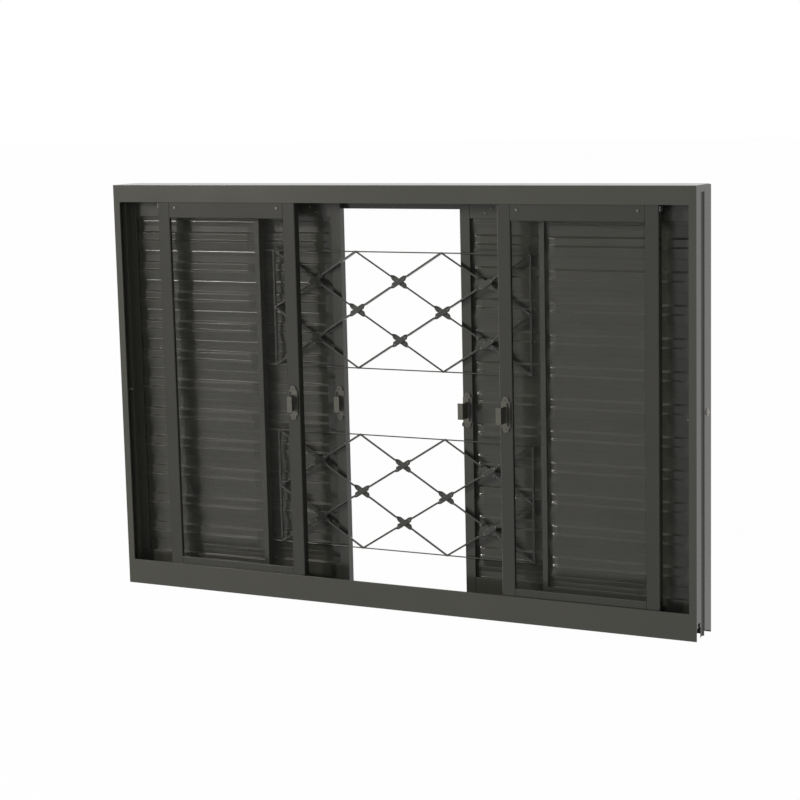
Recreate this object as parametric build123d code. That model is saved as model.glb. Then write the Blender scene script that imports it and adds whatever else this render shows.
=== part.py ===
"""Steel window with sliding glass sashes, louvred shutters and a twisted-bar grille.

The room side faces -Y and the weather side faces +Y, X runs to the right as seen from the room, Z is up.
The origin is at the middle of the bottom of the whole window. Sizes are in millimetres.
Depths are measured from the room face of the frame towards the weather side.
"""

import os
from math import asin, atan2, cos, radians, sin, sqrt

from build123d import *

# Whole window
window_width = 1500.0
window_height = 1000.0

# Folded frame members
frame_sheet = 1.6
jamb_face = 17.0
head_face = 41.5
sill_face = 61.0
face_return = 3.5
back_lip = 20.0
head_back = 60.0
rib_height = 15.0
end_chamfer = 10.0
rib_front = 28.0
rib_back = 53.0
track_floor = 29.0
shutter_floor = 13.0
floor_slope_start = 63.0
drip_height = 3.0
rail_width = 2.5
rail_height = 6.0
drain_front = 9.0
drain_back = 22.0
drain_height = 10.0
fixing_hole = 8.0
fixing_depth = 72.0
fixing_height = 501.0

# Glass sashes
sash_front = 5.0
sash_depth = 21.0
sash_width = 382.0
sash_stile = 32.0
sash_top_sight = 80.0
sash_bottom_sight = 79.0
left_sash_open = 242.0
right_sash_open = 281.0
sash_chamfer = 1.5
rail_setback = 0.8
glass_thickness = 4.0
glass_setback = 9.0
glass_bite = 8.0
glass_edge_gap = 0.5

# Louvred shutters
fixed_front = 46.7
fixed_depth = 23.0
fixed_inner_edge = 365.0
fixed_inner_stile = 12.5
fixed_outer_stile = 15.5
sliding_front = 74.0
sliding_depth = 21.0
sliding_width = 380.0
sliding_stile = 24.0
sliding_open = 157.0
shutter_sight = 79.0

# Clearances of the leaves in the frame
running_gap = 0.3
head_gap = 12.0
back_gap = 1.4

# Pressed slats, with places on their outline as depth and drop
slat_sheet = 1.2
slat_pitch = 73.1
slat_rows = 12
slat_lowest = 113.4
slat_setback = 1.5
slat_taper = 24.0
slat_depth = 16.5
slat_top = 1.2
nose_radius = 7.0
nose_drop = 9.3
nose_steps = 4
nose_turn = 70.0
foot_gap = 0.4
foot_depth = 6.5
foot_lap = 7.3
upper_hollow = (9.0, 20.0)
upper_seat = (8.6, 33.0)
upper_ridge = (4.7, 38.0)
lower_seat = (5.2, 53.3)
lower_ridge = (1.7, 58.0)
slat_end_depth = 9.5

# Twisted-bar grille
grille_depth = 66.0
grille_height = 277.0
lower_grille_rise = 127.0
upper_grille_drop = 159.0
diamond_width = 224.0
grille_bays = 3
bar_width = 12.0
bar_thickness = 4.0
long_rod = 3.0
end_rod = 7.0
lap_half = 15.0
twist_length = 10.0
twist_steps = 3
rising_turn = 0.0
falling_turn = 20.0

# Latches
latch_height = 82.0
latch_width = 15.0
latch_plate = 3.0
sash_latch_centre = 482.5
shutter_latch_centre = 476.5
latch_middle_height = 60.0
latch_middle_width = 23.0
latch_recess_height = 54.0
latch_recess_width = 7.0
latch_recess_depth = 2.2
latch_rib = 6.0
latch_screw = 6.0
pull_reach = 28.0
pull_height = 38.0
pull_lip = 13.0
pull_sheet = 2.0

frame_depth = sliding_front + sliding_depth + back_gap + frame_sheet
pull_front = sash_front - latch_plate - pull_reach
half_width = window_width / 2
clear_half = half_width - jamb_face


def at_depth(depth):
    """The Y of a plane this far behind the room face: Y 0 is midway between pulls and weather side."""
    return depth - (frame_depth + pull_front) / 2


def block(x0, x1, depth0, depth1, z0, z1):
    """A plain block between two corners."""
    size = (abs(x1 - x0), depth1 - depth0, z1 - z0)
    middle = ((x0 + x1) / 2, at_depth((depth0 + depth1) / 2), (z0 + z1) / 2)
    return Pos(*middle) * Box(*size)


def folded(path, thickness):
    """The outline of a sheet folded along a path, with its thickness on the path's left."""
    inner = []
    for i, here in enumerate(path):
        normals = []
        for a, b in zip(path[max(i - 1, 0) : i + 1], path[max(i, 1) : i + 2]):
            run = sqrt((b[0] - a[0]) ** 2 + (b[1] - a[1]) ** 2)
            normals.append(((a[1] - b[1]) / run, (b[0] - a[0]) / run))
        first, last = normals[0], normals[-1]
        mitre = thickness / (1 + first[0] * last[0] + first[1] * last[1])
        inner.append((here[0] + mitre * (first[0] + last[0]), here[1] + mitre * (first[1] + last[1])))
    return list(path) + inner[::-1]


def along_x(points, x0, x1):
    """A (depth, height) outline drawn out from x0 to x1."""
    outline = Polyline([(min(x0, x1), at_depth(d), z) for d, z in points], close=True)
    return extrude(make_face(outline), abs(x1 - x0), dir=(1, 0, 0))


def along_z(points, z0, z1):
    """An (x, depth) outline drawn out from z0 to z1."""
    outline = Polyline([(x, at_depth(d), z0) for x, d in points], close=True)
    return extrude(make_face(outline), z1 - z0, dir=(0, 0, 1))


def mirrored(shape):
    """The same piece on the other side of the middle."""
    return mirror(shape, about=Plane.YZ)


def head():
    """The top member: face, top web, rib between the tracks and a deeper back flange."""
    top = window_height
    s = frame_sheet
    back_half = half_width - back_lip
    web = block(-half_width, half_width, 0, frame_depth, top - s, top)
    web = chamfer(web.edges().filter_by(Axis.Z).group_by(Axis.Y)[-1], end_chamfer)
    face_path = [(0, top - s), (0, top - head_face), (face_return, top - head_face)]
    face = along_x(folded(face_path, s), -clear_half, clear_half)
    rib_low = top - rib_height
    rib_path = [(rib_back, top - s), (rib_back, rib_low), (rib_front, rib_low), (rib_front, top - s)]
    rib = along_x(folded(rib_path, s), -clear_half, clear_half)
    back = block(-back_half, back_half, frame_depth - s, frame_depth, top - head_back, top - s)
    end = block(half_width - s, half_width, rib_front, rib_back, rib_low, top - s)
    return web + face + rib + back + end + mirrored(end)


def sill():
    """The bottom member: face, sash track floor, lower floor sloping out to a drip edge, and two rails."""
    s = frame_sheet
    web_half = half_width - s
    back_half = half_width - back_lip
    face_path = [(face_return, sill_face), (0, sill_face), (0, 0)]
    face = along_x(folded(face_path, s), -clear_half, clear_half)
    floor_path = [
        (s, track_floor),
        (rib_front, track_floor),
        (rib_front, shutter_floor),
        (floor_slope_start, shutter_floor),
        (frame_depth - s, drip_height),
        (frame_depth - s, 0),
    ]
    floor = along_x(folded(floor_path, s), -web_half, web_half)
    for side in (-1, 1):
        floor -= block(side * clear_half, side * half_width, rib_front - s, rib_back + s, 0, sill_face)
        floor -= block(side * back_half, side * half_width, frame_depth - s, frame_depth, 0, sill_face)
    sash_rail = rail(sash_front + sash_depth / 2, track_floor, track_floor + s + rail_height)
    shutter_rail = rail(sliding_front + sliding_depth / 2, shutter_floor - floor_fall(), sliding_rail_top())
    return face + floor + sash_rail + shutter_rail


def floor_fall():
    """How far the sloping floor has dropped where the sliding shutters run, less the sheet it is made of."""
    slope = (shutter_floor - drip_height) / (frame_depth - frame_sheet - floor_slope_start)
    return slope * (sliding_front + sliding_depth / 2 - floor_slope_start) - frame_sheet / 2


def sliding_rail_top():
    """The height of the rail that the sliding shutters run on."""
    return shutter_floor + frame_sheet + rail_height


def rail(depth, z0, z1):
    """A running rail along the sill, centred on a depth."""
    half = rail_width / 2
    return block(-clear_half, clear_half, depth - half, depth + half, z0, z1)


def right_jamb():
    """A side member: one sheet folded round the sash track, in as a rib, and on to the weather lip."""
    s = frame_sheet
    path = [
        (clear_half, face_return),
        (clear_half, 0),
        (half_width, 0),
        (half_width, rib_front),
        (half_width - rib_height, rib_front),
        (half_width - rib_height, rib_back),
        (half_width, rib_back),
        (half_width, frame_depth),
        (half_width - back_lip, frame_depth),
    ]
    body = along_z(folded(path, s), 0, window_height - s)
    drain = block(clear_half, half_width, drain_front, drain_back, track_floor, track_floor + drain_height)
    wall = Plane((half_width, at_depth(fixing_depth), fixing_height), z_dir=(-1, 0, 0))
    body -= extrude(wall * Circle(fixing_hole / 2), 2 * s) + drain
    notch = block(clear_half, half_width, s, rib_front - s, 0, track_floor)
    notch += block(clear_half, clear_half + s, s, face_return, 0, track_floor + s)
    foot = [
        (rib_front - s, 0),
        (rib_front - s, shutter_floor),
        (floor_slope_start, shutter_floor),
        (frame_depth - s, drip_height),
        (frame_depth - s, 0),
    ]
    return body - notch - along_x(foot, clear_half - s, half_width)


def rebated(front, back, sight, far, inward):
    """A sash bar's (place, depth) outline: eased room edges, and a glass rebate past its sight line."""
    seat = sash_front + glass_setback
    rebate = sight - inward * (glass_bite + glass_edge_gap)
    eased = front + sash_chamfer
    far_corner = [(far, eased), (far + inward * sash_chamfer, front)]
    sight_corner = [(sight - inward * sash_chamfer, front), (sight, eased)]
    return far_corner + sight_corner + [(sight, seat), (rebate, seat), (rebate, back), (far, back)]


def sash(meeting_edge, side):
    """The five pieces of a glass sash that runs from its meeting edge towards one side of the window."""
    front, back = sash_front, sash_front + sash_depth
    bottom = track_floor + frame_sheet + rail_height + running_gap
    top = window_height - frame_sheet - head_gap
    outer_edge = meeting_edge + side * sash_width
    inner_sight = meeting_edge + side * sash_stile
    outer_sight = outer_edge - side * sash_stile
    top_sight = window_height - sash_top_sight
    bottom_sight = sash_bottom_sight
    inner = rebated(front, back, inner_sight, meeting_edge, side)
    outer = rebated(front, back, outer_sight, outer_edge, -side)
    upper = [(d, z) for z, d in rebated(front + rail_setback, back, top_sight, top, -1)]
    lower = [(d, z) for z, d in rebated(front + rail_setback, back, bottom_sight, bottom, 1)]
    pane_x = sorted((inner_sight - side * glass_bite, outer_sight + side * glass_bite))
    pane_z = (bottom_sight - glass_bite, top_sight + glass_bite)
    seat = front + glass_setback
    return {
        "inner_stile": along_z(inner, bottom, top),
        "outer_stile": along_z(outer, bottom, top),
        "top_rail": along_x(upper, inner_sight, outer_sight),
        "bottom_rail": along_x(lower, inner_sight, outer_sight),
        "glass": block(*pane_x, seat, seat + glass_thickness, *pane_z),
    }


def nose_arc():
    """A slat's rounded nose, from its flange down to its front, behind the foot of the slat above."""
    lapped = asin((nose_drop - foot_lap) / nose_radius)
    centre = foot_depth + slat_sheet + foot_gap + nose_radius * cos(lapped)
    arc = []
    for step in range(nose_steps + 1):
        turn = radians(nose_turn * (1 - step / nose_steps))
        arc.append((centre - nose_radius * cos(turn), nose_radius * sin(turn) - nose_drop))
    return arc


def pressed_slat(front, inner, outer, side):
    """A slat that hangs from height 0: a flange, a rounded nose, two ledges pressed out, and a foot."""
    top = [(slat_depth, -slat_top)] + nose_arc() + [(upper_hollow[0], -upper_hollow[1])]
    foot = [(foot_depth, -slat_pitch - foot_lap)]
    ledges = (upper_seat, upper_ridge, lower_seat, lower_ridge)
    pressed = top + [(d, -z) for d, z in ledges] + foot
    flat = top + [(slat_end_depth, -z) for d, z in ledges] + foot
    faces = []
    for x, path in ((inner, flat), (inner + side * slat_taper, pressed), (outer, pressed)):
        outline = folded([(front + slat_setback + d, z) for d, z in path], slat_sheet)
        faces.append(make_face(Polyline([(x, at_depth(d), z) for d, z in outline], close=True)))
    return loft(faces, ruled=True)


def shutter(front, depth, edges, stiles, heights):
    """The five pieces of a louvred leaf from its inner edge to its outer one, slats let in between."""
    back = front + depth
    inner_edge, outer_edge = edges
    inner_stile, outer_stile = stiles
    bottom, top = heights
    low, high = shutter_sight, window_height - shutter_sight
    side = 1 if outer_edge > inner_edge else -1
    inner_sight = inner_edge + side * inner_stile
    outer_sight = outer_edge - side * outer_stile
    window = block(inner_sight, outer_sight, front, back, low, high)
    slat = pressed_slat(front, inner_sight, outer_sight, side)
    slats = []
    for row in range(slat_rows + 1):
        placed = Pos(0, 0, slat_lowest + slat_pitch * row) * slat
        box = placed.bounding_box()
        whole = box.min.Z >= low and box.max.Z <= high
        slats += [placed] if whole else (placed & window).solids()
    rail_front = front + rail_setback
    return {
        "inner_stile": block(inner_edge, inner_sight, front, back, bottom, top),
        "outer_stile": block(outer_sight, outer_edge, front, back, bottom, top),
        "top_rail": block(inner_sight, outer_sight, rail_front, back, high, top),
        "bottom_rail": block(inner_sight, outer_sight, rail_front, back, bottom, low),
        "slats": Compound(children=slats),
    }


def twisted_bar(start, end, laps, rest):
    """A flat bar along X, turned rest degrees from on edge, and twisted flat beside its plane at laps."""
    stops = [(start, 0.0)]
    for lap in laps:
        for step in range(twist_steps + 1):
            stops.append((lap - lap_half - twist_length * (1 - step / twist_steps), step / twist_steps))
        for step in range(twist_steps + 1):
            stops.append((lap + lap_half + twist_length * step / twist_steps, 1 - step / twist_steps))
    stops.append((end, 0.0))
    sections = []
    for along, turn in stops:
        angle = radians(rest + (90 - rest) * turn)
        place = (along, -turn * bar_thickness / 2, 0)
        section = Plane(place, x_dir=(0, cos(angle), sin(angle)), z_dir=(1, 0, 0))
        sections.append(section * Rectangle(bar_width, bar_thickness))
    return loft(sections, ruled=True)


def rod(x0, z0, x1, z1, diameter):
    """A thin rod in the grille's plane."""
    start = Vector(x0, at_depth(grille_depth), z0)
    run = Vector(x1, at_depth(grille_depth), z1) - start
    return extrude(Plane(start, z_dir=run) * RegularPolygon(diameter / 2, 8), run.length)


def grille(bottom):
    """A lattice of twisted bars, lapped where they cross, between two long rods and two end rods."""
    top = bottom + grille_height
    half_bay = diamond_width / 2
    level = grille_height / 4
    slope = atan2(level, half_bay)
    step = sqrt(half_bay**2 + level**2)
    half_length = grille_bays * half_bay
    panel = rod(-fixed_inner_edge, bottom, fixed_inner_edge, bottom, long_rod)
    panel += rod(-fixed_inner_edge, top, fixed_inner_edge, top, long_rod)
    panel += rod(-half_length, bottom, -half_length, top, end_rod)
    panel += rod(half_length, bottom, half_length, top, end_rod)
    for foot in range(-grille_bays - 2, grille_bays, 2):
        first = max(0, -grille_bays - foot)
        last = min(4, grille_bays - foot)
        laps = [i * step for i in range(first + 1, last)]
        for lean, rest in ((1, rising_turn), (-1, falling_turn)):
            bar = twisted_bar(first * step, last * step, laps, rest)
            start = (lean * foot * half_bay, at_depth(grille_depth), bottom)
            along, upward = (lean * cos(slope), 0, sin(slope)), (-lean * sin(slope), 0, cos(slope))
            panel += Plane(start, x_dir=along, z_dir=upward) * bar
    return panel


def latch(front, stile_middle, centre, side):
    """A latch on a stile: a plate with a recess beside a rib, a ring at each end, and an angled pull."""
    middle = Plane((stile_middle, at_depth(front), centre), x_dir=(0, 0, 1), z_dir=(0, -1, 0))
    outline = SlotOverall(latch_height, latch_width)
    outline += Rectangle(latch_middle_height, latch_middle_width)
    body = extrude(middle * outline, latch_plate)
    room_face = front - latch_plate
    near = stile_middle + side * latch_rib / 2
    low, high = centre - latch_recess_height / 2, centre + latch_recess_height / 2
    recess = (near, near + side * latch_recess_width, room_face, room_face + latch_recess_depth)
    body -= block(*recess, low, high)
    for hand in (-1, 1):
        ring = Pos(hand * (latch_height - latch_width) / 2, 0, 0) * Circle(latch_screw / 2)
        body -= extrude(middle.offset(latch_plate) * ring, -latch_recess_depth)
    tip = room_face - pull_reach
    lip = stile_middle + pull_sheet / 2 * side
    pull_low, pull_high = centre - pull_height / 2, centre + pull_height / 2
    body += block(lip - side * pull_sheet, lip, tip, front, pull_low, pull_high)
    return body + block(lip, lip - side * pull_lip, tip, tip + pull_sheet, pull_low, pull_high)


def window_parts():
    """Every piece of the window by its name."""
    parts = {
        "head": head(),
        "sill": sill(),
        "left_jamb": mirrored(right_jamb()),
        "right_jamb": right_jamb(),
        "upper_grille": grille(window_height - upper_grille_drop - grille_height),
        "lower_grille": grille(lower_grille_rise),
    }
    fixed_heights = (shutter_floor + frame_sheet + running_gap, window_height - rib_height - frame_sheet)
    sliding_heights = (sliding_rail_top() + running_gap, window_height - frame_sheet - head_gap)
    for word, side in (("left", -1), ("right", 1)):
        sash_open = left_sash_open if side < 0 else right_sash_open
        sash_edge = side * sash_open
        sliding_edges = (side * sliding_open, side * (sliding_open + sliding_width))
        sliding_stiles = (sliding_stile, sliding_stile)
        fixed_edges = (side * fixed_inner_edge, side * (half_width - rib_height - frame_sheet))
        fixed_stiles = (fixed_inner_stile, fixed_outer_stile)
        fixed = shutter(fixed_front, fixed_depth, fixed_edges, fixed_stiles, fixed_heights)
        sliding = shutter(sliding_front, sliding_depth, sliding_edges, sliding_stiles, sliding_heights)
        leaves = {
            word + "_sash": sash(sash_edge, side),
            word + "_fixed_shutter": fixed,
            word + "_sliding_shutter": sliding,
        }
        for leaf, pieces in leaves.items():
            for piece, shape in pieces.items():
                parts[leaf + "_" + piece] = shape
        sash_middle = sash_edge + side * sash_stile / 2
        shutter_middle = side * (sliding_open + sliding_stile / 2)
        parts[word + "_sash_latch"] = latch(sash_front, sash_middle, sash_latch_centre, side)
        parts[word + "_shutter_latch"] = latch(sliding_front, shutter_middle, shutter_latch_centre, side)
    return parts


os.makedirs("parts", exist_ok=True)
for part_name, part_shape in window_parts().items():
    part_shape.label = part_name
    export_step(part_shape, "parts/" + part_name + ".step")
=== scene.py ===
"""Looks of a painted steel window with glass sashes, louvred shutters and a twisted-bar grille.

The room side faces -Y, X runs to the right as seen from the room, and Z is up. Lengths are in metres.
"""

from math import asin, pi, radians

import bmesh
import bpy
from mathutils import Matrix, Vector


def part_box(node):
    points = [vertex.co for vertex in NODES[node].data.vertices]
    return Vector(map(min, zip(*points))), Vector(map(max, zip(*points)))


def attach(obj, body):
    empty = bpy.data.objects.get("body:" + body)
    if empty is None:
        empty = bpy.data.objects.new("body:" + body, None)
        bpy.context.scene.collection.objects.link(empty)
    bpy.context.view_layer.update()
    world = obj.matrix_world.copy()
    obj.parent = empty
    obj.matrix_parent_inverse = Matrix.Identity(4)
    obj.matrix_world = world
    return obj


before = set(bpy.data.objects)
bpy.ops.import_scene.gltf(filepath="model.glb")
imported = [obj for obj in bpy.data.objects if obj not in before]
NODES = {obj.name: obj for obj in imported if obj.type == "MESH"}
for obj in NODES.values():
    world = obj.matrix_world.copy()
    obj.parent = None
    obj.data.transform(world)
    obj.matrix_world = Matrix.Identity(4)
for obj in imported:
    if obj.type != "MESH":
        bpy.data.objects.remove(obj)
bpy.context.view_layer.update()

bl_info = {
    "name": "Shuttered window",
    "version": (1, 0, 0),
    "blender": (4, 5, 0),
    "location": "View3D > Sidebar > Window",
    "description": "Finishes and fittings of a painted steel window with louvred shutters",
    "category": "Object",
}

SIDES = {"left": -1, "right": 1}

# Camera, solved from the corners of the photographed window
CAMERA_PLACE = (2.1802, -4.2059, 1.2143)
CAMERA_TURN = 27.278
CAMERA_DOWN = 8.613
CAMERA_ROLL = -1.311
CAMERA_LENS = 92.0
SENSOR_WIDTH = 36.0

# Floor, and the plane of the frame's room face
ROOM_FACE = -0.036
FLOOR_REACH = 40.0
FLOOR_HEIGHT = -0.0005

# Latches: the plate stands out of the stile; the rings' seats and the dark slab lie behind its face.
# The slab is painted shade in the latch's recess.
PLATE_PROUD = 0.003
RING_HEIGHT = 0.0335
RING_SEAT = 0.0022
LATCH_HEAD_HEIGHT = 0.0026
SHADE_SLAB_NEAR = 0.0032
SHADE_SLAB_FAR = 0.0098
SHADE_SLAB_FRONT = 0.0014
SHADE_SLAB_BACK = 0.0021
SHADE_SLAB_HALF_HEIGHT = 0.0268
SHADE_SLAB_ROUNDING = 0.0002

# Corner screws of the sashes' top rails: distances from the rail's ends, and the height over the floor
SASH_SCREW_LEFT = 0.0165
SASH_SCREW_RIGHT = 0.0155
SASH_SCREW_Z = 0.9451
SASH_HEAD_HEIGHT = 0.0022

# Pairs of screws at both ends of the sliding shutters' top rails: distance from the end, and height
SHUTTER_SCREWS = ((0.0397, 0.9333), (0.0564, 0.9443))
SHUTTER_HEAD_HEIGHT = 0.0016

# Fixing screws in the jambs' holes, and the stop pegs on the jambs' webs
FIXING_Y = 0.036
FIXING_Z = 0.501
FIXING_HEAD_HEIGHT = 0.0026
WASHER_THICKNESS = 0.0011
WASHER_ROUNDING = 0.0003
JAMB_SHEET = 0.0016
PEG_BACK = 0.0125
PEG_Z = 0.4925
PEG_ROUNDING = 0.001

# Rolled strip in the mouth of each jamb's hollow
GROOVE_Y = 0.0045
GROOVE_HALF_WIDTH = 0.0122
GROOVE_SHEET = 0.0006
GROOVE_END_GAP = 0.002
GROOVE_STEPS = 10

# Nylon guides at the sashes' outer top corners: reach to the side, front, back, and heights
GUIDE_REACH = 0.0032
GUIDE_FRONT = 0.003
GUIDE_BACK = 0.017
GUIDE_LOW = 0.9435
GUIDE_HIGH = 0.9555
GUIDE_ROUNDING = 0.0009

# Rubber buffer on the right sliding shutter's inner stile
BUFFER_BACK = 0.0085
BUFFER_Z = 0.4405
BUFFER_ROUNDING = 0.0015

# Finishes: patterns per metre, and the radii that the paint rounds the folds to
CLOUDS = 7.0
ORANGE_PEEL = 160.0
SCRATCHES = 1500.0
SCRATCH_STRETCH = 0.08
SPECKS = 300.0
SMEARS = 9.0
SHEET_FOLD = 0.0009
SLAT_FOLD = 0.0011
PRESSED_FOLD = 0.0006


def hex_colour(name, description, default):
    """A setting that holds an sRGB hex colour."""
    return bpy.props.StringProperty(name=name, description=description, default=default)


def length(name, description, default):
    """A setting that holds a length of at least a millimetre."""
    return bpy.props.FloatProperty(
        name=name, description=description, default=default, min=0.001, unit="LENGTH"
    )


def power(name, description, default):
    """A setting that holds a lamp's power in watts."""
    return bpy.props.FloatProperty(
        name=name, description=description, default=default, min=0.0, unit="POWER"
    )


class StageSettings(bpy.types.PropertyGroup):
    """The floor, the lamps and the room."""

    floor_colour: hex_colour("Floor colour", "sRGB hex colour of the floor", "#ebebe9")
    floor_glow: bpy.props.FloatProperty(
        name="Floor glow", description="Share of the floor that is plain white to the camera",
        default=0.985, min=0.0, max=1.0, subtype="FACTOR",
    )
    key_power: power("Key power", "Power of the softbox at the left", 420.0)
    strip_power: power("Strip power", "Power of the tall lamp that the slats mirror", 65.0)
    front_power: power("Front power", "Power of the wide softbox in front", 45.0)
    room_strength: bpy.props.FloatProperty(
        name="Room strength", description="Brightness of the white room around the window",
        default=0.24, min=0.0,
    )


class PaintSettings(bpy.types.PropertyGroup):
    """The colours of the paint, the metal and the small plastic parts."""

    frame_paint: hex_colour("Frame paint", "Dark grey paint on the frame", "#42423c")
    sash_paint: hex_colour("Sash paint", "Dark grey paint on the glass sashes", "#32322e")
    shutter_paint: hex_colour("Shutter paint", "Dark grey paint on the shutters", "#393934")
    grille_paint: hex_colour("Grille paint", "Dark grey paint on the grille", "#3a3a37")
    latch_colour: hex_colour("Latch colour", "Grey finish of the latches", "#4b4a42")
    screw_colour: hex_colour("Screw colour", "Zinc-plated screws in the jambs", "#8f8d86")
    painted_screw: hex_colour("Painted screw colour", "Screws that were painted over", "#4c4c46")
    # The rubber colour also darkens the latches' slabs, which are painted shade.
    rubber_and_shade_colour: hex_colour("Rubber colour", "The buffer and the latch slides", "#171716")
    nylon_colour: hex_colour("Nylon colour", "The sashes' top guides", "#5c5c56")


class FittingSettings(bpy.types.PropertyGroup):
    """Sizes of the screws, grooves, guides, buffer and pegs."""

    latch_screw: length("Latch screw", "Diameter of a latch screw's head", 0.0054)
    rail_screw: length("Rail screw", "Diameter of a sash corner screw's head", 0.0078)
    shutter_screw: length("Shutter screw", "Diameter of a shutter rail screw's head", 0.006)
    wall_screw: length("Wall screw", "Diameter of a jamb fixing screw's head", 0.011)
    wall_washer: length("Wall washer", "Diameter of the washer under a fixing screw", 0.018)
    groove_depth: length("Groove depth", "Depth of the rolled groove in the jambs", 0.0035)
    buffer_width: length("Buffer width", "Diameter of the shutter's rubber buffer", 0.011)
    buffer_reach: length("Buffer reach", "How far the buffer stands out of the stile", 0.006)
    peg_width: length("Peg width", "Diameter of the sash stop peg", 0.005)
    peg_length: length("Peg length", "Length of the sash stop peg", 0.0235)


def linear(hex_value):
    """An sRGB hex colour as linear red, green, blue and alpha."""
    channels = [int(hex_value[i : i + 2], 16) / 255 for i in (1, 3, 5)]
    return [c / 12.92 if c <= 0.04045 else ((c + 0.055) / 1.055) ** 2.4 for c in channels] + [1.0]


def add_node(tree, kind, settings=None, **inputs):
    """A shader node with its settings, and its inputs set to a value or linked from a socket.

    An input is named by its label with _ for each space, or by its number, as in i0.
    """
    node = tree.nodes.new(kind)
    for name, value in (settings or {}).items():
        setattr(node, name, value)
    for name, value in inputs.items():
        numbered = name[1:].isdigit()
        socket = node.inputs[int(name[1:])] if numbered else node.inputs[name.replace("_", " ")]
        if isinstance(value, bpy.types.NodeSocket):
            tree.links.new(value, socket)
        else:
            socket.default_value = value
    return node


def new_material(name):
    """An empty node material, with its tree and its output."""
    material = bpy.data.materials.new(name)
    material.use_nodes = True
    tree = material.node_tree
    tree.nodes.clear()
    return material, tree, tree.nodes.new("ShaderNodeOutputMaterial")


def share(colour, factor):
    """A linear colour made darker or lighter."""
    return [min(c * factor, 1.0) for c in colour[:3]] + [1.0]


def blend(tree, factor, first, second):
    """A mix of two colours."""
    mix = add_node(tree, "ShaderNodeMix", {"data_type": "RGBA"}, i0=factor, i6=first, i7=second)
    return mix.outputs[2]


def greater(tree, first, second):
    """The greater of two values."""
    return add_node(tree, "ShaderNodeMath", {"operation": "MAXIMUM"}, i0=first, i1=second).outputs[0]


def edge_mask(tree, radius, wear_and_highlight):
    """How pale the edges are made, as wear and painted highlight, 0 on its faces, and the edges'
    rounded normal.
    """
    rounded = add_node(tree, "ShaderNodeBevel", {"samples": 6}, Radius=radius).outputs[0]
    flat = add_node(tree, "ShaderNodeNewGeometry").outputs["Normal"]
    same = add_node(tree, "ShaderNodeVectorMath", {"operation": "DOT_PRODUCT"}, i0=rounded, i1=flat)
    mask = add_node(
        tree, "ShaderNodeMapRange", Value=same.outputs["Value"], From_Min=0.995, From_Max=0.9,
        To_Min=0.0, To_Max=wear_and_highlight,
    )
    return mask.outputs[0], rounded


def painted_steel(name, colour, roughness, peel=0.0, dust_and_painted_light=1.5, fold=SHEET_FOLD):
    """Sheet steel sprayed with satin grey primer: an even dark colour, soft glints on the folds.

    The edges are paler: partly thin or rubbed paint, partly a painted highlight along the folds.
    Its cloudy thickness shows as faint patches some 140 mm across, and the gloss changes with them.
    The spray's orange peel, really about 1 mm, is drawn 6 mm wide so that it shows. What looks up
    is made paler, painted light from above, so the slats' ledges are paler than their faces.
    """
    material, tree, output = new_material(name)
    place = add_node(tree, "ShaderNodeTexCoord").outputs["Object"]
    cloud = add_node(tree, "ShaderNodeTexNoise", Vector=place, Scale=CLOUDS, Detail=4.0).outputs["Fac"]
    plain = linear(colour)
    shade = blend(tree, cloud, share(plain, 0.9), share(plain, 1.1))
    # Faces that look up are made paler: painted light from above, which brightens the slats' ledges.
    facing_way = add_node(tree, "ShaderNodeNewGeometry").outputs["Normal"]
    turn = add_node(tree, "ShaderNodeSeparateXYZ", Vector=facing_way)
    upward_light = add_node(
        tree, "ShaderNodeMapRange", Value=turn.outputs["Z"], From_Min=0.3, From_Max=0.62, To_Max=1.0
    )
    top_lit = blend(tree, upward_light.outputs[0], shade, share(plain, dust_and_painted_light))
    # Paler edges: worn paint and a painted highlight along the folds.
    mask, normal = edge_mask(tree, fold, 0.45)
    worn_and_highlit = blend(tree, mask, top_lit, share(plain, 2.2))
    if peel:
        spray = add_node(tree, "ShaderNodeTexNoise", Vector=place, Scale=ORANGE_PEEL, Detail=1.0)
        bump = add_node(
            tree, "ShaderNodeBump", Strength=peel, Distance=0.0002, Height=spray.outputs["Fac"],
            Normal=normal,
        )
        normal = bump.outputs["Normal"]
    gloss = add_node(
        tree, "ShaderNodeMapRange", Value=cloud, To_Min=roughness - 0.04, To_Max=roughness + 0.04
    )
    shader = add_node(
        tree, "ShaderNodeBsdfPrincipled", Roughness=gloss.outputs[0], IOR=1.4, Normal=normal,
        Base_Color=worn_and_highlit,
    )
    tree.links.new(shader.outputs[0], output.inputs["Surface"])
    return material


def scratched_steel(name, colour, roughness, metal, grain):
    """Steel with a thin finish, zinc where metal is high and paint where it is low.

    It is a cloudy grey with bright rubbed edges. Its scratches, really hairlines, are drawn
    0.7 mm wide and upright, so that they break up the gloss.
    """
    material, tree, output = new_material(name)
    place = add_node(tree, "ShaderNodeTexCoord").outputs["Object"]
    cloud = add_node(tree, "ShaderNodeTexNoise", Vector=place, Scale=grain, Detail=3.0).outputs["Fac"]
    plain = linear(colour)
    shade = blend(tree, cloud, share(plain, 0.75), share(plain, 1.25))
    mask, rounded = edge_mask(tree, PRESSED_FOLD, 0.8)
    rubbed = blend(tree, mask, shade, share(plain, 1.8))
    upright = add_node(tree, "ShaderNodeMapping", Vector=place, Scale=(1.0, 1.0, SCRATCH_STRETCH))
    scratch = add_node(
        tree, "ShaderNodeTexNoise", Vector=upright.outputs[0], Scale=SCRATCHES, Detail=2.0
    )
    bump = add_node(
        tree, "ShaderNodeBump", Strength=0.15, Distance=0.00005, Height=scratch.outputs["Fac"],
        Normal=rounded,
    )
    gloss = add_node(
        tree, "ShaderNodeMapRange", Value=cloud, To_Min=roughness - 0.08, To_Max=roughness + 0.08
    )
    shader = add_node(
        tree, "ShaderNodeBsdfPrincipled", Metallic=metal, Roughness=gloss.outputs[0],
        Normal=bump.outputs["Normal"], Base_Color=rubbed,
    )
    tree.links.new(shader.outputs[0], output.inputs["Surface"])
    return material


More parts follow.
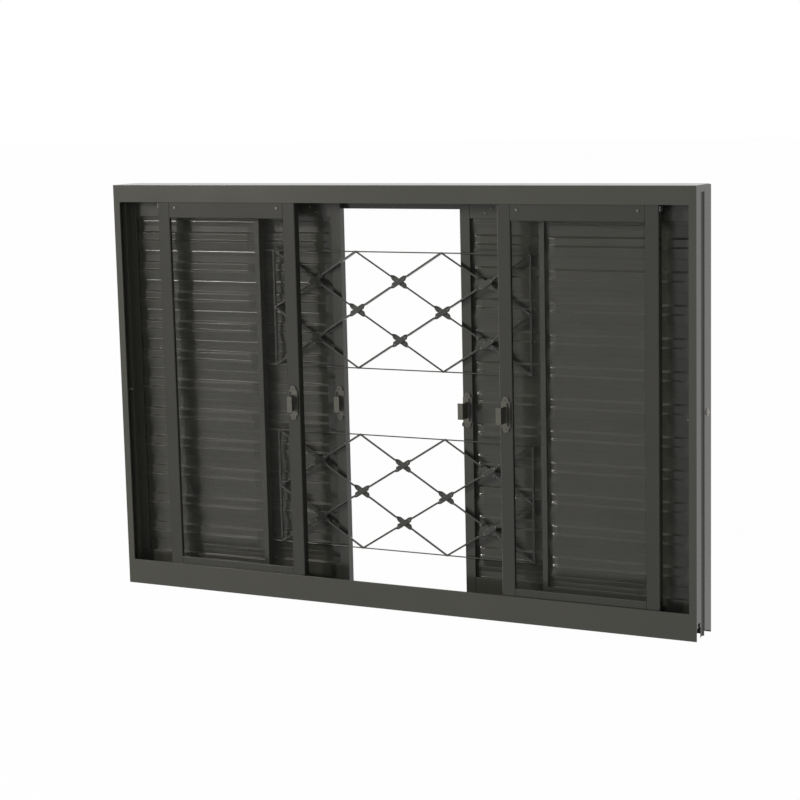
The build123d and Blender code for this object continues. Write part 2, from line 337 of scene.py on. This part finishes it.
def moulded(name, colour, roughness, dust_and_painted_light):
    """Moulded rubber or nylon: an even matt colour with grey dust in specks some 3 mm across."""
    material, tree, output = new_material(name)
    place = add_node(tree, "ShaderNodeTexCoord").outputs["Object"]
    speck = add_node(tree, "ShaderNodeTexNoise", Vector=place, Scale=SPECKS, Detail=4.0).outputs["Fac"]
    plain = linear(colour)
    shade = blend(tree, speck, plain, [c + dust_and_painted_light for c in plain[:3]] + [1.0])
    bump = add_node(tree, "ShaderNodeBump", Strength=0.1, Distance=0.0001, Height=speck)
    shader = add_node(
        tree, "ShaderNodeBsdfPrincipled", Roughness=roughness, IOR=1.5,
        Normal=bump.outputs["Normal"], Base_Color=shade,
    )
    tree.links.new(shader.outputs[0], output.inputs["Surface"])
    return material


def float_glass(name):
    """Clear float glass: the shutters show behind it under a faint, smeared white veil.
    The veil is dust and also painted reflection haze, in place of the pane's own mirroring.

    The photographed panes mirror hardly anything, so the IOR is far below the usual 1.5. Light
    passes straight through, and so do the reflections that other surfaces see.
    """
    material, tree, output = new_material(name)
    place = add_node(tree, "ShaderNodeTexCoord").outputs["Object"]
    smear = add_node(tree, "ShaderNodeTexNoise", Vector=place, Scale=SMEARS, Detail=5.0)
    # A faint white diffuse veil: dust, and a painted reflection haze over what lies behind.
    dust_and_reflection_veil = add_node(
        tree, "ShaderNodeMapRange", Value=smear.outputs["Fac"], To_Min=0.003, To_Max=0.015
    )
    shader = add_node(
        tree, "ShaderNodeBsdfPrincipled", Roughness=0.0, IOR=1.03, Transmission_Weight=1.0
    )
    dust_and_painted_light = add_node(tree, "ShaderNodeBsdfDiffuse", Color=linear("#e6e8e4"))
    pane = add_node(
        tree, "ShaderNodeMixShader", i0=dust_and_reflection_veil.outputs[0], i1=shader.outputs[0], i2=dust_and_painted_light.outputs[0]
    )
    clear = add_node(tree, "ShaderNodeBsdfTransparent")
    path = add_node(tree, "ShaderNodeLightPath").outputs
    soft = greater(tree, path["Is Shadow Ray"], path["Is Diffuse Ray"])
    passing = greater(tree, soft, path["Is Glossy Ray"])
    mix = add_node(
        tree, "ShaderNodeMixShader", i0=passing, i1=pane.outputs[0], i2=clear.outputs[0]
    )
    tree.links.new(mix.outputs[0], output.inputs["Surface"])
    return material


class WINDOW_OT_stage(bpy.types.Operator):
    """Make the floor, the lamps, the room and the camera."""

    bl_idname = "window.stage"
    bl_label = "Stage"

    def execute(self, context):
        settings = context.scene.window_stage
        context.scene.view_settings.view_transform = "Standard"
        floor(settings)
        room(settings)
        lamps(settings)
        camera(context.scene)
        return {"FINISHED"}


def seen_ray(tree):
    """1 for rays from the camera, through the glass or off a glossy surface, and 0 for the rest."""
    path = add_node(tree, "ShaderNodeLightPath").outputs
    direct = greater(tree, path["Is Camera Ray"], path["Is Transmission Ray"])
    return greater(tree, direct, path["Is Glossy Ray"])


def floor(settings):
    """A plain floor, wide enough for every view, that shows almost white and keeps the shadow."""
    mesh = bpy.data.meshes.new("floor")
    shape = bmesh.new()
    bmesh.ops.create_grid(shape, x_segments=1, y_segments=1, size=FLOOR_REACH)
    bmesh.ops.translate(shape, verts=shape.verts, vec=(0, 0, FLOOR_HEIGHT))
    shape.to_mesh(mesh)
    shape.free()
    plane = bpy.data.objects.new("floor", mesh)
    bpy.context.scene.collection.objects.link(plane)
    material, tree, output = new_material("floor")
    diffuse = add_node(tree, "ShaderNodeBsdfDiffuse", Color=linear(settings.floor_colour))
    white = add_node(tree, "ShaderNodeEmission", Color=(1, 1, 1, 1), Strength=1.0)
    glow = add_node(
        tree, "ShaderNodeMath", {"operation": "MULTIPLY"}, i0=seen_ray(tree), i1=settings.floor_glow
    )
    mix = add_node(
        tree, "ShaderNodeMixShader", i0=glow.outputs[0], i1=diffuse.outputs[0], i2=white.outputs[0]
    )
    tree.links.new(mix.outputs[0], output.inputs["Surface"])
    mesh.materials.append(material)


def room(settings):
    """A world that is white where it is seen, and gives plain dim light everywhere else."""
    world = bpy.data.worlds.new("room")
    bpy.context.scene.world = world
    world.use_nodes = True
    tree = world.node_tree
    tree.nodes.clear()
    white = add_node(tree, "ShaderNodeBackground", Strength=1.0, Color=(1, 1, 1, 1))
    dim = add_node(
        tree, "ShaderNodeBackground", Strength=settings.room_strength, Color=(1, 1, 1, 1)
    )
    mix = add_node(
        tree, "ShaderNodeMixShader", i0=seen_ray(tree), i1=dim.outputs[0], i2=white.outputs[0]
    )
    add_node(tree, "ShaderNodeOutputWorld", Surface=mix.outputs[0])


def softbox(name, place, width, height, watts, colour):
    """A rectangular lamp turned towards the middle of the window."""
    data = bpy.data.lights.new(name, "AREA")
    data.shape = "RECTANGLE"
    data.size = width
    data.size_y = height
    data.energy = watts
    data.color = linear(colour)[:3]
    lamp = bpy.data.objects.new(name, data)
    bpy.context.scene.collection.objects.link(lamp)
    towards = Vector((0, 0, 0.5)) - Vector(place)
    turn = towards.to_track_quat("-Z", "Y").to_matrix().to_4x4()
    lamp.matrix_world = Matrix.Translation(place) @ turn


def lamps(settings):
    """A far key at the left, a tall strip that the slats' noses mirror, and a softbox in front."""
    softbox("key", (-8.6, -7.2, 3.6), 1.2, 1.2, settings.key_power, "#fffdf4")
    softbox("strip", (-2.6, -3.3, 1.72), 0.3, 0.7, settings.strip_power, "#fffaf6")
    softbox("front", (1.5, -5.5, 2.6), 1.6, 1.6, settings.front_power, "#f4f7ff")


def camera(scene):
    """The photograph's viewing angle: from the right, a little above, and rolled slightly."""
    data = bpy.data.cameras.new("camera")
    data.lens = CAMERA_LENS
    data.sensor_width = SENSOR_WIDTH
    view = bpy.data.objects.new("camera", data)
    scene.collection.objects.link(view)
    turn = Matrix.Rotation(radians(CAMERA_TURN), 4, "Z")
    tilt = Matrix.Rotation(pi / 2 - radians(CAMERA_DOWN), 4, "X")
    roll = Matrix.Rotation(radians(CAMERA_ROLL), 4, "Z")
    view.matrix_world = Matrix.Translation(CAMERA_PLACE) @ turn @ tilt @ roll
    scene.camera = view


class WINDOW_OT_paint(bpy.types.Operator):
    """Paint the frame, the leaves, the latches and the grille, and glaze the sashes."""

    bl_idname = "window.paint"
    bl_label = "Paint and glass"

    def execute(self, context):
        settings = context.scene.window_paint
        frame_coat = painted_steel("painted_frame", settings.frame_paint, 0.18, 0.02)
        sash_coat = painted_steel("painted_sash", settings.sash_paint, 0.18, 0.02)
        # The shutters' upward faces get a weaker painted light from above.
        shutter_coat = painted_steel(
            "painted_shutter", settings.shutter_paint, 0.21, dust_and_painted_light=1.3, fold=SLAT_FOLD
        )
        bars = painted_steel("painted_grille", settings.grille_paint, 0.26)
        pressed = scratched_steel("latch_steel", settings.latch_colour, 0.42, 0.2, 60.0)
        glass = float_glass("float_glass")
        for name, node in NODES.items():
            if name.endswith("_glass"):
                finish = glass
            elif name.endswith("_grille"):
                finish = bars
            elif name.endswith("_latch"):
                finish = pressed
            elif "_shutter_" in name:
                finish = shutter_coat
            elif "_sash_" in name:
                finish = sash_coat
            else:
                finish = frame_coat
            for slot in node.material_slots:
                slot.material = finish
        scratched_steel("screw_steel", settings.screw_colour, 0.38, 0.85, 200.0)
        scratched_steel("painted_screw", settings.painted_screw, 0.4, 0.2, 200.0)
        # This material also covers the latches' dark slabs, which are painted shade.
        moulded("black_rubber_and_shade", settings.rubber_and_shade_colour, 0.6, 0.006)
        moulded("grey_nylon", settings.nylon_colour, 0.45, 0.03)
        return {"FINISHED"}


def piece(name, shape, material):
    """A finished mesh as an object of the window, with its finish."""
    bmesh.ops.remove_doubles(shape, verts=shape.verts, dist=1e-6)
    bmesh.ops.recalc_face_normals(shape, faces=shape.faces)
    mesh = bpy.data.meshes.new(name)
    shape.to_mesh(mesh)
    shape.free()
    mesh.materials.append(bpy.data.materials[material])
    made = bpy.data.objects.new(name, mesh)
    bpy.context.scene.collection.objects.link(made)
    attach(made, "root")


def facing(place, direction):
    """A matrix that turns local Z to a direction and moves the origin to a place."""
    turn = Vector(direction).to_track_quat("Z", "Y").to_matrix().to_4x4()
    return Matrix.Translation(place) @ turn


def join(target, part, matrix):
    """Moves a small bmesh into place and adds it to another."""
    bmesh.ops.transform(part, matrix=matrix, verts=part.verts)
    scratch = bpy.data.meshes.new("scratch")
    part.to_mesh(scratch)
    part.free()
    target.from_mesh(scratch)
    bpy.data.meshes.remove(scratch)


def top_face(shape):
    """The highest face of a shape that looks up."""
    return max(shape.faces, key=lambda f: f.calc_center_median().z + f.normal.z)


def screw_head(diameter, height):
    """A pan head with a rounded rim and a cross recess, standing on Z = 0."""
    rim = diameter * 0.1
    arm = diameter * 0.075
    shape = bmesh.new()
    bmesh.ops.create_cone(
        shape, cap_ends=True, segments=32, radius1=diameter / 2, radius2=diameter * 0.46,
        depth=height, matrix=Matrix.Translation((0, 0, height / 2)),
    )
    bmesh.ops.bevel(
        shape, geom=list(top_face(shape).edges), offset=height * 0.4, segments=3, affect="EDGES",
        profile=0.5, material=-1,
    )
    shape.normal_update()
    bmesh.ops.inset_region(shape, faces=[top_face(shape)], thickness=rim, use_even_offset=True)
    recess = top_face(shape)
    between = [v for v in recess.verts if min(abs(v.co.x), abs(v.co.y)) > arm]
    bmesh.ops.scale(shape, vec=(0.4, 0.4, 1.0), verts=between)
    sunk = bmesh.ops.extrude_discrete_faces(shape, faces=[recess])["faces"][0]
    bmesh.ops.translate(shape, vec=(0, 0, -height * 0.6), verts=list(sunk.verts))
    return shape


def rounded_bar(diameter, reach, rounding):
    """A round bar along Z with rounded ends, standing on Z = 0."""
    shape = bmesh.new()
    bmesh.ops.create_cone(
        shape, cap_ends=True, segments=32, radius1=diameter / 2, radius2=diameter / 2, depth=reach,
        matrix=Matrix.Translation((0, 0, reach / 2)),
    )
    ends = [e for f in shape.faces if abs(f.normal.z) > 0.9 for e in f.edges]
    bmesh.ops.bevel(
        shape, geom=ends, offset=rounding, segments=3, affect="EDGES", profile=0.5, material=-1
    )
    return shape


def rounded_block(low, high, rounding):
    """A block between two corners with all its edges rounded."""
    shape = bmesh.new()
    size = Vector(high) - Vector(low)
    middle = (Vector(high) + Vector(low)) / 2
    matrix = Matrix.Translation(middle) @ Matrix.Diagonal((*size, 1.0))
    bmesh.ops.create_cube(shape, size=1.0, matrix=matrix)
    bmesh.ops.bevel(
        shape, geom=list(shape.edges), offset=rounding, segments=2, affect="EDGES", profile=0.5,
        material=-1,
    )
    return shape


class WINDOW_OT_latch_fittings(bpy.types.Operator):
    """Put two screws in the rings of each latch, and a dark slab in its recess as painted shade."""

    bl_idname = "window.latch_fittings"
    bl_label = "Latch fittings"

    def execute(self, context):
        head = context.scene.window_fittings.latch_screw
        for word, side in SIDES.items():
            for leaf, carrier in (("sash", "sash"), ("shutter", "sliding_shutter")):
                latch = f"{word}_{leaf}_latch"
                low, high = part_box(latch)
                height = (low[2] + high[2]) / 2
                low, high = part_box(f"{word}_{carrier}_inner_stile")
                across = (low[0] + high[0]) / 2
                plate = low[1] - PLATE_PROUD
                screws = bmesh.new()
                for hand in (-1, 1):
                    ring = (across, plate + RING_SEAT, height + hand * RING_HEIGHT)
                    join(screws, screw_head(head, LATCH_HEAD_HEIGHT), facing(ring, (0, -1, 0)))
                piece(f"{latch}_screws", screws, "painted_screw")
                # A near-black slab in the recess beside the rib: painted shade, not a real part.
                near, far = sorted((across + side * SHADE_SLAB_NEAR, across + side * SHADE_SLAB_FAR))
                shade_slab = rounded_block(
                    (near, plate + SHADE_SLAB_FRONT, height - SHADE_SLAB_HALF_HEIGHT),
                    (far, plate + SHADE_SLAB_BACK, height + SHADE_SLAB_HALF_HEIGHT),
                    SHADE_SLAB_ROUNDING,
                )
                piece(f"{latch}_slide", shade_slab, "black_rubber_and_shade")
        return {"FINISHED"}


class WINDOW_OT_rail_screws(bpy.types.Operator):
    """Put the corner screws in the top rails of the sashes and the sliding shutters."""

    bl_idname = "window.rail_screws"
    bl_label = "Rail screws"

    def execute(self, context):
        settings = context.scene.window_fittings
        for word, side in SIDES.items():
            low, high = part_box(f"{word}_sash_top_rail")
            screws = bmesh.new()
            for across in (low[0] + SASH_SCREW_LEFT, high[0] - SASH_SCREW_RIGHT):
                place = facing((across, low[1], SASH_SCREW_Z), (0, -1, 0))
                join(screws, screw_head(settings.rail_screw, SASH_HEAD_HEIGHT), place)
            piece(f"{word}_sash_corner_screws", screws, "painted_screw")
            low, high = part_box(f"{word}_sliding_shutter_top_rail")
            inner, outer = sorted((low[0], high[0]), key=abs)
            screws = bmesh.new()
            for end, inwards in ((inner, side), (outer, -side)):
                for distance, height in SHUTTER_SCREWS:
                    place = facing((end + inwards * distance, low[1], height), (0, -1, 0))
                    join(screws, screw_head(settings.shutter_screw, SHUTTER_HEAD_HEIGHT), place)
            piece(f"{word}_shutter_rail_screws", screws, "painted_screw")
        return {"FINISHED"}


class WINDOW_OT_wall_screws(bpy.types.Operator):
    """Put a fixing screw with its washer in each jamb, and a stop peg behind its front flange."""

    bl_idname = "window.wall_screws"
    bl_label = "Wall screws and stop pegs"

    def execute(self, context):
        settings = context.scene.window_fittings
        for word, side in SIDES.items():
            low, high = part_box(f"{word}_jamb")
            wall = max(low[0], high[0], key=abs)
            fixing = bmesh.new()
            washer = rounded_bar(settings.wall_washer, WASHER_THICKNESS, WASHER_ROUNDING)
            join(fixing, washer, facing((wall, FIXING_Y, FIXING_Z), (side, 0, 0)))
            head = screw_head(settings.wall_screw, FIXING_HEAD_HEIGHT)
            seat = (wall + side * WASHER_THICKNESS, FIXING_Y, FIXING_Z)
            join(fixing, head, facing(seat, (side, 0, 0)))
            piece(f"{word}_wall_screw", fixing, "screw_steel")
            web = (wall - side * JAMB_SHEET, ROOM_FACE + PEG_BACK, PEG_Z)
            peg = rounded_bar(settings.peg_width, settings.peg_length, PEG_ROUNDING)
            bmesh.ops.transform(peg, matrix=facing(web, (-side, 0, 0)), verts=peg.verts)
            piece(f"{word}_stop_peg", peg, "painted_screw")
        return {"FINISHED"}


class WINDOW_OT_grooves(bpy.types.Operator):
    """Put the shallow rolled groove along the outside of each jamb, over the hollow of its rib."""

    bl_idname = "window.grooves"
    bl_label = "Jamb grooves"

    def execute(self, context):
        depth = context.scene.window_fittings.groove_depth
        reach = (GROOVE_HALF_WIDTH * GROOVE_HALF_WIDTH + depth * depth) / (2 * depth)
        span = 2 * asin(GROOVE_HALF_WIDTH / reach)
        for word, side in SIDES.items():
            low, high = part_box(f"{word}_jamb")
            wall = max(low[0], high[0], key=abs)
            edge = wall - side * GROOVE_SHEET
            bottom = low[2] + GROOVE_END_GAP
            tall = high[2] - low[2] - 2 * GROOVE_END_GAP
            shape = bmesh.new()
            start = shape.verts.new((edge, GROOVE_Y - GROOVE_HALF_WIDTH, bottom))
            bmesh.ops.spin(
                shape, geom=[start], cent=(edge + side * (reach - depth), GROOVE_Y, 0),
                axis=(0, 0, 1), angle=-side * span, steps=GROOVE_STEPS,
            )
            upper = bmesh.ops.extrude_edge_only(shape, edges=list(shape.edges))["geom"]
            raised = [v for v in upper if isinstance(v, bmesh.types.BMVert)]
            bmesh.ops.translate(shape, vec=(0, 0, tall), verts=raised)
            bmesh.ops.recalc_face_normals(shape, faces=shape.faces)
            bmesh.ops.solidify(shape, geom=list(shape.faces), thickness=GROOVE_SHEET)
            piece(f"{word}_jamb_groove", shape, "painted_frame")
        return {"FINISHED"}


class WINDOW_OT_guides(bpy.types.Operator):
    """Put a guide on the outer top corner of each sash, and the buffer on the right shutter."""

    bl_idname = "window.guides"
    bl_label = "Guides and buffer"

    def execute(self, context):
        settings = context.scene.window_fittings
        for word, side in SIDES.items():
            low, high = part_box(f"{word}_sash_outer_stile")
            edge = max((low[0], high[0]), key=abs)
            near, far = sorted((edge, edge + side * GUIDE_REACH))
            guide = rounded_block(
                (near, low[1] + GUIDE_FRONT, GUIDE_LOW), (far, low[1] + GUIDE_BACK, GUIDE_HIGH),
                GUIDE_ROUNDING,
            )
            piece(f"{word}_sash_guide", guide, "grey_nylon")
        low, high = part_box("right_sliding_shutter_inner_stile")
        buffer = rounded_bar(settings.buffer_width, settings.buffer_reach, BUFFER_ROUNDING)
        place = facing((low[0], low[1] + BUFFER_BACK, BUFFER_Z), (-1, 0, 0))
        bmesh.ops.transform(buffer, matrix=place, verts=buffer.verts)
        piece("shutter_buffer", buffer, "black_rubber_and_shade")
        return {"FINISHED"}


class WINDOW_PT_panel(bpy.types.Panel):
    """The window's pieces in the sidebar."""

    bl_label = "Shuttered window"
    bl_idname = "WINDOW_PT_panel"
    bl_space_type = "VIEW_3D"
    bl_region_type = "UI"
    bl_category = "Window"

    def draw(self, context):
        for operator in OPERATORS:
            self.layout.operator(operator.bl_idname)


OPERATORS = (
    WINDOW_OT_stage,
    WINDOW_OT_paint,
    WINDOW_OT_latch_fittings,
    WINDOW_OT_rail_screws,
    WINDOW_OT_wall_screws,
    WINDOW_OT_grooves,
    WINDOW_OT_guides,
)
SETTINGS = {
    "window_stage": StageSettings,
    "window_paint": PaintSettings,
    "window_fittings": FittingSettings,
}


def register():
    """Register the settings, the operators and the panel."""
    for cls in (*SETTINGS.values(), *OPERATORS, WINDOW_PT_panel):
        bpy.utils.register_class(cls)
    for name, group in SETTINGS.items():
        setattr(bpy.types.Scene, name, bpy.props.PointerProperty(type=group))


def unregister():
    """Remove the settings, the operators and the panel."""
    for name in SETTINGS:
        delattr(bpy.types.Scene, name)
    for cls in (WINDOW_PT_panel, *reversed(OPERATORS), *SETTINGS.values()):
        bpy.utils.unregister_class(cls)


def main():
    """Dress the window."""
    register()
    for operator in OPERATORS:
        group, name = operator.bl_idname.split(".")
        getattr(getattr(bpy.ops, group), name)()


if __name__ == "__main__":
    main()
